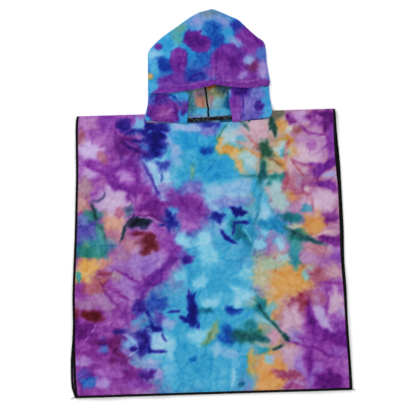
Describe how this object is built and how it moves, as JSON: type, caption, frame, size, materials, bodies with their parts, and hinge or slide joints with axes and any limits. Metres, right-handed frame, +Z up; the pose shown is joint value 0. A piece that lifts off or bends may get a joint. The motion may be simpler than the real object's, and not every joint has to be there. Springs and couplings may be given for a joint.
{
  "type": "hooded bath poncho",
  "caption": "Child's hooded bath poncho of thin tie-dyed towelling, laid flat face up: a folded body with a neck slit and a folded hood.",
  "frame": {"origin": "on the underside, below the middle of the plan", "axes": "+Z up off the surface it lies on, +Y from the hem to the hood, +X to the right as seen from above, which is the wearer's left"},
  "size_m": [0.604, 0.827, 0.0069],
  "materials": {
    "body_towelling": "matte",
    "hood_towelling": "matte",
    "overlock_thread": "matte"
  },
  "bodies": {
    "root": {"body_cloth": "body_towelling", "hood_left": "hood_towelling", "hood_right": "hood_towelling"}
  },
  "joints": []
}
